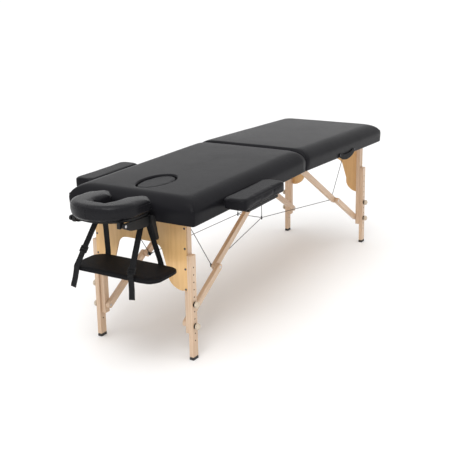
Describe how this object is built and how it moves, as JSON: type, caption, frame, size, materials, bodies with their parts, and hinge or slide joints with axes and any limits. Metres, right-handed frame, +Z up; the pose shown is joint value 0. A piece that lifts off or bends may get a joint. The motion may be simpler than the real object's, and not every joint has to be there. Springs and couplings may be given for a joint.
{
  "type": "portable massage table",
  "caption": "Folding portable massage table: two padded sections on height-adjustable wooden legs with cable braces, a face cradle, an arm shelf and side armrests.",
  "frame": {"origin": "centre of the footprint's box, on the floor", "axes": "+X along the table towards the foot end, +Y across it, +Z up"},
  "size_m": [2.1016, 0.84, 0.6817],
  "materials": {
    "black_vinyl": "satin, fine leather grain",
    "maple": "clear satin lacquer on pale maple or beech",
    "plywood": "clear satin lacquer on plywood",
    "black_metal": "satin black",
    "webbing": "woven black webbing",
    "rubber": "matte black",
    "ivory_knob": "turned and lacquered, pale",
    "steel": "zinc-plated"
  },
  "bodies": {
    "head_section": {"head_pad": "black_vinyl", "head_deck": "plywood", "head_side_rail_near": "maple", "head_side_rail_far": "maple", "head_end_rail": "maple", "head_hinge_rail": "maple", "head_brace_rail": "maple", "head_hinge_leaf": "steel", "brace_cable_net": "steel"},
    "foot_section": {"foot_pad": "black_vinyl", "foot_deck": "plywood", "foot_side_rail_near": "maple", "foot_side_rail_far": "maple", "foot_end_rail": "maple", "foot_hinge_rail": "maple", "foot_brace_rail": "maple", "foot_hinge_leaf": "steel"},
    "head_legs": {"head_end_panel": "plywood", "head_upper_leg_near": "maple", "head_upper_leg_far": "maple"},
    "head_upper_braces": {"head_upper_brace_near": "maple", "head_upper_brace_far": "maple"},
    "head_lower_braces": {"head_lower_brace_near": "maple", "head_lower_brace_far": "maple"},
    "foot_legs": {"foot_end_panel": "plywood", "foot_upper_leg_near": "maple", "foot_upper_leg_far": "maple"},
    "foot_upper_braces": {"foot_upper_brace_near": "maple", "foot_upper_brace_far": "maple"},
    "foot_lower_braces": {"foot_lower_brace_near": "maple", "foot_lower_brace_far": "maple"},
    "head_near_extension": {"head_leg_extension_near": "maple", "head_rubber_foot_near": "rubber"},
    "head_knob_near_1": {"head_knob_near_1": "ivory_knob"},
    "head_knob_near_2": {"head_knob_near_2": "ivory_knob"},
    "head_far_extension": {"head_leg_extension_far": "maple", "head_rubber_foot_far": "rubber"},
    "head_knob_far_1": {"head_knob_far_1": "ivory_knob"},
    "head_knob_far_2": {"head_knob_far_2": "ivory_knob"},
    "foot_near_extension": {"foot_leg_extension_near": "maple", "foot_rubber_foot_near": "rubber"},
    "foot_knob_near_1": {"foot_knob_near_1": "ivory_knob"},
    "foot_knob_near_2": {"foot_knob_near_2": "ivory_knob"},
    "foot_far_extension": {"foot_leg_extension_far": "maple", "foot_rubber_foot_far": "rubber"},
    "foot_knob_far_1": {"foot_knob_far_1": "ivory_knob"},
    "foot_knob_far_2": {"foot_knob_far_2": "ivory_knob"},
    "face_plug": {"face_plug": "black_vinyl"},
    "cradle_base": {"cradle_base": "black_metal"},
    "cradle_head": {"cradle_platform": "black_metal", "cradle_cushion": "black_vinyl"},
    "cam_lever": {"cam_lever": "black_metal"},
    "arm_shelf": {"arm_shelf": "black_vinyl", "shelf_strap_near": "webbing", "shelf_strap_far": "webbing"},
    "armrest_near": {"armrest_pad_near": "black_vinyl", "armrest_bracket_near": "black_metal"},
    "armrest_far": {"armrest_pad_far": "black_vinyl", "armrest_bracket_far": "black_metal"}
  },
  "joints": [
    {"name": "table_fold", "type": "hinge", "parent": "head_section", "child": "foot_section", "pos_m": [0.12417, 0, 0.583], "axis": [0, 1, 0], "range_deg": [0, 90], "deforming": ["brace_cable_net"]},
    {"name": "head_leg_fold", "type": "hinge", "parent": "head_section", "child": "head_legs", "pos_m": [-0.72061, 0, 0.58731], "axis": [0, -1, 0], "range_deg": [0, 91.2], "deforming": ["brace_cable_net"]},
    {"name": "head_upper_brace_swing", "type": "hinge", "parent": "head_section", "child": "head_upper_braces", "pos_m": [0.05432, 0, 0.62285], "axis": [0, 1, 0], "range_deg": [0, 31.13]},
    {"name": "head_lower_brace_swing", "type": "hinge", "parent": "head_legs", "child": "head_lower_braces", "pos_m": [-0.71461, 0, 0.14], "axis": [0, -1, 0], "range_deg": [0, 58.07]},
    {"name": "head_near_leg_height", "type": "slide", "parent": "head_legs", "child": "head_near_extension", "axis": [0, 0, -1], "range_m": [-0.06, 0.15]},
    {"name": "head_knob_near_1_turn", "type": "hinge", "parent": "head_legs", "child": "head_knob_near_1", "pos_m": [-0.72361, -0.251, 0.139], "axis": [0, -1, 0], "continuous": true},
    {"name": "head_knob_near_2_turn", "type": "hinge", "parent": "head_legs", "child": "head_knob_near_2", "pos_m": [-0.72361, -0.251, 0.229], "axis": [0, -1, 0], "continuous": true},
    {"name": "head_far_leg_height", "type": "slide", "parent": "head_legs", "child": "head_far_extension", "axis": [0, 0, -1], "range_m": [-0.06, 0.15]},
    {"name": "head_knob_far_1_turn", "type": "hinge", "parent": "head_legs", "child": "head_knob_far_1", "pos_m": [-0.72361, 0.251, 0.139], "axis": [0, 1, 0], "continuous": true},
    {"name": "head_knob_far_2_turn", "type": "hinge", "parent": "head_legs", "child": "head_knob_far_2", "pos_m": [-0.72361, 0.251, 0.229], "axis": [0, 1, 0], "continuous": true},
    {"name": "foot_leg_fold", "type": "hinge", "parent": "foot_section", "child": "foot_legs", "pos_m": [0.96894, 0, 0.58731], "axis": [0, 1, 0], "range_deg": [0, 91.2], "deforming": ["brace_cable_net"]},
    {"name": "foot_upper_brace_swing", "type": "hinge", "parent": "foot_section", "child": "foot_upper_braces", "pos_m": [0.19402, 0, 0.62285], "axis": [0, -1, 0], "range_deg": [0, 31.13]},
    {"name": "foot_lower_brace_swing", "type": "hinge", "parent": "foot_legs", "child": "foot_lower_braces", "pos_m": [0.96295, 0, 0.14], "axis": [0, 1, 0], "range_deg": [0, 58.07]},
    {"name": "foot_near_leg_height", "type": "slide", "parent": "foot_legs", "child": "foot_near_extension", "axis": [0, 0, -1], "range_m": [-0.06, 0.15]},
    {"name": "foot_knob_near_1_turn", "type": "hinge", "parent": "foot_legs", "child": "foot_knob_near_1", "pos_m": [0.97194, -0.251, 0.139], "axis": [0, -1, 0], "continuous": true},
    {"name": "foot_knob_near_2_turn", "type": "hinge", "parent": "foot_legs", "child": "foot_knob_near_2", "pos_m": [0.97194, -0.251, 0.229], "axis": [0, -1, 0], "continuous": true},
    {"name": "foot_far_leg_height", "type": "slide", "parent": "foot_legs", "child": "foot_far_extension", "axis": [0, 0, -1], "range_m": [-0.06, 0.15]},
    {"name": "foot_knob_far_1_turn", "type": "hinge", "parent": "foot_legs", "child": "foot_knob_far_1", "pos_m": [0.97194, 0.251, 0.139], "axis": [0, 1, 0], "continuous": true},
    {"name": "foot_knob_far_2_turn", "type": "hinge", "parent": "foot_legs", "child": "foot_knob_far_2", "pos_m": [0.97194, 0.251, 0.229], "axis": [0, 1, 0], "continuous": true},
    {"name": "face_plug_lift", "type": "slide", "parent": "head_section", "child": "face_plug", "axis": [-0.0209, 0, 0.9998], "range_m": [0, 0.09]},
    {"name": "cradle_slide", "type": "slide", "parent": "head_section", "child": "cradle_base", "axis": [-0.9998, 0, -0.0209], "range_m": [0, 0.038]},
    {"name": "cradle_tilt", "type": "hinge", "parent": "cradle_base", "child": "cradle_head", "pos_m": [-0.98083, 0, 0.594], "axis": [0, -1, 0], "range_deg": [0, 30]},
    {"name": "cam_lever_turn", "type": "hinge", "parent": "cradle_base", "child": "cam_lever", "pos_m": [-0.83383, -0.137, 0.587], "axis": [0, 1, 0], "range_deg": [0, 95]},
    {"name": "arm_shelf_swing", "type": "hinge", "parent": "cradle_base", "child": "arm_shelf", "pos_m": [-0.83383, 0, 0.587], "axis": [0, 1, 0], "range_deg": [-8, 20]},
    {"name": "armrest_near_slide", "type": "slide", "parent": "head_section", "child": "armrest_near", "axis": [0, -1, 0], "range_m": [0, 0.015]},
    {"name": "armrest_far_slide", "type": "slide", "parent": "head_section", "child": "armrest_far", "axis": [0, 1, 0], "range_m": [0, 0.015]}
  ],
  "couplings": [
    {"joint": "head_upper_brace_swing", "follows": "head_leg_fold", "ratio": 0.33911},
    {"joint": "head_lower_brace_swing", "follows": "head_leg_fold", "ratio": 0.63458},
    {"joint": "foot_upper_brace_swing", "follows": "foot_leg_fold", "ratio": 0.33911},
    {"joint": "foot_lower_brace_swing", "follows": "foot_leg_fold", "ratio": 0.63458}
  ]
}
